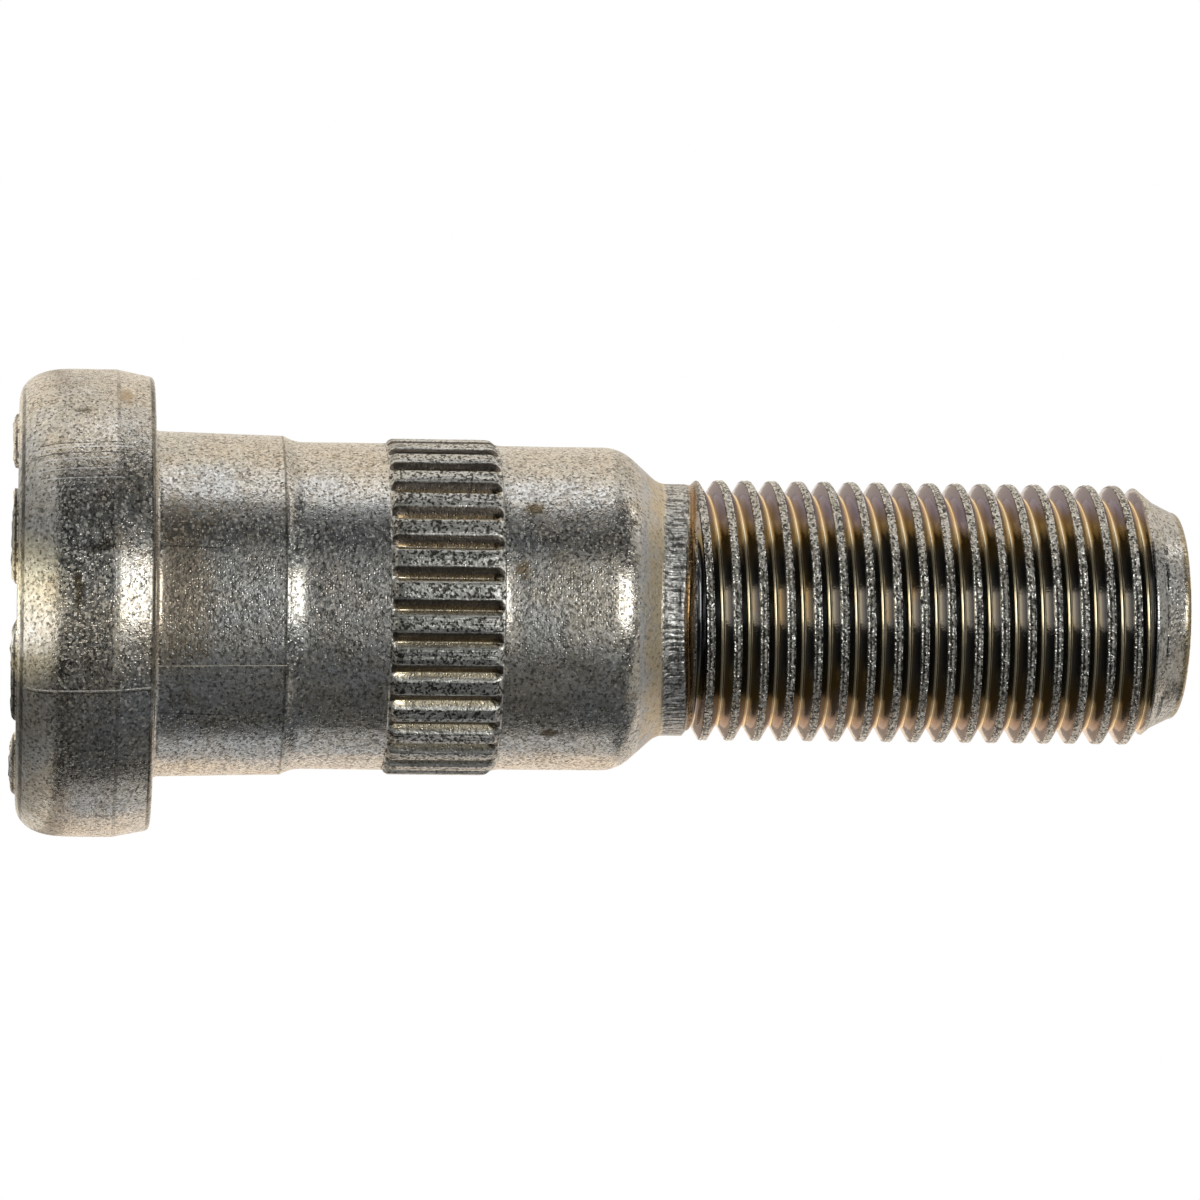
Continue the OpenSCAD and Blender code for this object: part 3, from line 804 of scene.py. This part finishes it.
# Angles go round from the camera's side towards -X, and rise from the level
panels = {
    "frontUpper": {"round": (76, 104), "rise": (-10, 12), "strength": 1.1, "colour": (0.97, 0.98, 1.0)},
    "frontUpperHigh": {"round": (90, 104), "rise": (12, 60), "strength": 0.65, "colour": (0.97, 0.98, 1.0)},
    "backUpper": {"round": (104, 180), "rise": (-10, 12), "strength": 0.88, "colour": (1.0, 0.90, 0.76)},
    "backUpperHigh": {"round": (104, 180), "rise": (12, 60), "strength": 0.66, "colour": (1.0, 0.91, 0.79)},
    "backLower": {"round": (180, 232), "rise": (-10, 14), "strength": 1.0, "colour": (1.0, 0.84, 0.68)},
    "backLowerHigh": {"round": (180, 232), "rise": (14, 60), "strength": 0.7, "colour": (1.0, 0.89, 0.77)},
    "sideLower": {"round": (-128, -98), "rise": (-10, 16), "strength": 0.5, "colour": (0.97, 0.98, 1.0)},
    "tipSide": {"round": (-8, 22), "rise": (17, 52), "strength": 3.0, "colour": (1.0, 0.99, 0.95)},
    "frontUpperEdge": {"round": (60, 76), "rise": (-10, 12), "strength": 0.14, "colour": (0.97, 0.98, 1.0)},
    "frontLower": {"round": (-62, -30), "rise": (-4, 12), "strength": 0.06, "colour": (0.97, 0.98, 1.0)},
    "overhead": {"round": (-50, 50), "rise": (64, 100), "strength": 0.3, "colour": (1.0, 0.94, 0.84)},
    "crestFill": {"round": (-30, 36), "rise": (8, 17), "strength": 0.6, "colour": (1.0, 0.98, 0.92)},
    "frontFill": {"round": (-24, 40), "rise": (3, 16), "strength": 0.19, "colour": (0.96, 0.98, 1.0)},
}
# Stops are (round, strength, colour) on a ring that lies on the floor
cream, warm, neutral, gold = (1.0, 0.92, 0.80), (1.0, 0.86, 0.73), (1.0, 0.99, 0.96), (1.0, 0.92, 0.70)
cards = {
    "nearRing": {"from": 7, "to": 20, "stops": [
        (-180, 0.95, cream), (-88, 0.9, cream), (-76, 0.5, cream), (-50, 0.24, neutral), (-38, 0.15, neutral),
        (-24, 0.15, neutral), (-16, 0.5, gold), (-8, 1.5, neutral), (6, 1.5, gold), (15, 0.5, gold),
        (22, 0.3, neutral), (34, 0.44, neutral), (46, 0.66, neutral), (58, 0.95, cream), (70, 1.0, cream),
        (180, 0.95, cream)]},
    "middleRing": {"from": 20, "to": 48, "stops": [
        (-180, 0.5, warm), (-100, 0.45, warm), (-90, 0.05, neutral), (-16, 0.02, neutral), (-6, 0.3, neutral),
        (4, 0.3, neutral), (14, 0.04, neutral), (50, 0.03, neutral), (76, 0.8, cream), (180, 0.8, cream)]},
    "outerRing": {"from": 48, "to": 500, "stops": [
        (-180, 0.4, warm), (-100, 0.36, warm), (-96, 0.02, neutral), (-24, 0.01, neutral),
        (24, 0.01, neutral), (68, 0.02, neutral), (76, 0.8, cream), (104, 0.75, cream),
        (130, 0.5, warm), (180, 0.5, warm)]},
}
studio = {
    "lookHeight": 0.024, "reach": 0.45, "cardHeight": 0.00005, "cardStep": 2,
    "floorSize": 3.0, "floorShade": (0.82, 0.82, 0.81), "floorRough": 0.9,
    "roomShade": (0.92, 0.96, 1.0), "roomStrength": 0.105,
}


def towards(turned, rise=0.0):
    a, b = math.radians(turned), math.radians(rise)
    return Vector((-math.sin(a) * math.cos(b), -math.cos(a) * math.cos(b), math.sin(b)))


def addPanel(name, p):
    # An area light that faces the stud and fills the given angles
    halfRound = math.radians(p["round"][1] - p["round"][0]) / 2
    halfRise = math.radians(p["rise"][1] - p["rise"][0]) / 2
    light = bpy.data.lights.new(name, "AREA")
    light.shape = "RECTANGLE"
    light.size = 2 * studio["reach"] * math.tan(halfRound)
    light.size_y = 2 * studio["reach"] * math.tan(halfRise)
    light.energy = p["strength"] * math.pi * light.size * light.size_y
    light.color = p["colour"]
    obj = bpy.data.objects.new(name, light)
    out = towards(sum(p["round"]) / 2, sum(p["rise"]) / 2)
    side = Vector((0, 0, 1)).cross(out).normalized()
    turn = Matrix((side, out.cross(side), out)).transposed()
    aim = Vector((0, 0, studio["lookHeight"]))
    obj.matrix_world = Matrix.Translation(aim + out * studio["reach"]) @ turn.to_4x4()
    obj.visible_camera = False
    bpy.context.scene.collection.objects.link(obj)


def addCard(name, p):
    # A ring that lies on the floor and is seen only in the stud's reflections
    points, glow = [], []
    for angle in range(-180, 181, studio["cardStep"]):
        spoke = towards(angle)
        points += [spoke * p["from"] * mm, spoke * p["to"] * mm]
        below = max(stop for stop in p["stops"] if stop[0] <= angle)
        above = min(stop for stop in p["stops"] if stop[0] >= angle)
        share = (angle - below[0]) / max(above[0] - below[0], 1)
        shade = [below[1] * (1 - share) * low + above[1] * share * high
                 for low, high in zip(below[2], above[2])]
        glow += [*shade, 1.0] * 2
    mesh = bpy.data.meshes.new(name)
    spokes = len(points) // 2
    mesh.from_pydata(points, [], [(2 * k, 2 * k + 1, 2 * k + 3, 2 * k + 2) for k in range(spokes - 1)])
    mesh.attributes.new("glow", "FLOAT_COLOR", "POINT").data.foreach_set("color", glow)
    card = bpy.data.objects.new(name, mesh)
    card.location.z = studio["cardHeight"]
    card.visible_camera = card.visible_diffuse = card.visible_shadow = False
    bpy.context.scene.collection.objects.link(card)
    material = bpy.data.materials.new(name)
    material.use_nodes = True
    tree = material.node_tree
    tree.nodes.clear()
    shade = addNode(tree, "ShaderNodeAttribute", attribute_name="glow").outputs["Color"]
    emission = addNode(tree, "ShaderNodeEmission", {"Color": shade})
    addNode(tree, "ShaderNodeOutputMaterial", {0: emission.outputs[0]})
    mesh.materials.append(material)


def buildStudio():
    for name, p in panels.items():
        addPanel(name, p)
    for name, p in cards.items():
        addCard(name, p)

    world = bpy.data.worlds.new("studioRoom")
    bpy.context.scene.world = world
    world.use_nodes = True
    tree = world.node_tree
    tree.nodes.clear()
    # The camera sees white paper behind the stud, which itself stands in a dim room
    seen = addNode(tree, "ShaderNodeLightPath").outputs["Is Camera Ray"]
    room = addNode(tree, "ShaderNodeBackground", {
        "Color": (*studio["roomShade"], 1), "Strength": studio["roomStrength"]})
    paper = addNode(tree, "ShaderNodeBackground", {"Color": (1, 1, 1, 1), "Strength": 1.0})
    mix = addNode(tree, "ShaderNodeMixShader", {0: seen, 1: room.outputs[0], 2: paper.outputs[0]})
    addNode(tree, "ShaderNodeOutputWorld", {0: mix.outputs[0]})

    half = studio["floorSize"] / 2
    mesh = bpy.data.meshes.new("floor")
    corners = [(-half, -half, 0), (half, -half, 0), (half, half, 0), (-half, half, 0)]
    mesh.from_pydata(corners, [], [(0, 1, 2, 3)])
    floor = bpy.data.objects.new("floor", mesh)
    bpy.context.scene.collection.objects.link(floor)
    material = bpy.data.materials.new("paleFloor")
    material.use_nodes = True
    shader = material.node_tree.nodes["Principled BSDF"]
    shader.inputs["Base Color"].default_value = (*studio["floorShade"], 1)
    shader.inputs["Roughness"].default_value = studio["floorRough"]
    shader.inputs["Specular IOR Level"].default_value = 0.0
    mesh.materials.append(material)


# Camera: a long lens at the floor's height, turned on its side so that the tip points right

camera = {
    "distance": 0.3005, "height": 0.0, "aside": -0.00043, "aimHeight": 0.02809,
    "lens": 189.3, "sensor": 36.0, "roll": 0.69, "turned": 1.04,
}


def buildCamera(c):
    data = bpy.data.cameras.new("studCamera")
    data.lens = c["lens"]
    data.sensor_width = c["sensor"]
    data.clip_start, data.clip_end = 0.01, 50
    obj = bpy.data.objects.new("studCamera", data)
    turn = Matrix.Rotation(-math.radians(c["turned"]), 3, "Z")
    place = turn @ Vector((c["aside"], -c["distance"], c["height"]))
    forward = (turn @ Vector((c["aside"], 0, c["aimHeight"])) - place).normalized()
    right = (turn @ Vector((1, 0, 0))).cross(forward).normalized()
    up = right.cross(forward)
    tilt = math.radians(c["roll"])
    across = right * math.cos(tilt) + up * math.sin(tilt)
    upwards = up * math.cos(tilt) - right * math.sin(tilt)
    obj.matrix_world = Matrix.Translation(place) @ Matrix((across, upwards, -forward)).transposed().to_4x4()
    bpy.context.scene.collection.objects.link(obj)
    bpy.context.scene.camera = obj


bpy.context.scene.view_settings.view_transform = "Standard"
platedSteel()
piece = buildStud()
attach(piece, "root")
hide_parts("wheel_stud")
buildStudio()
buildCamera(camera)
print("studio ready")
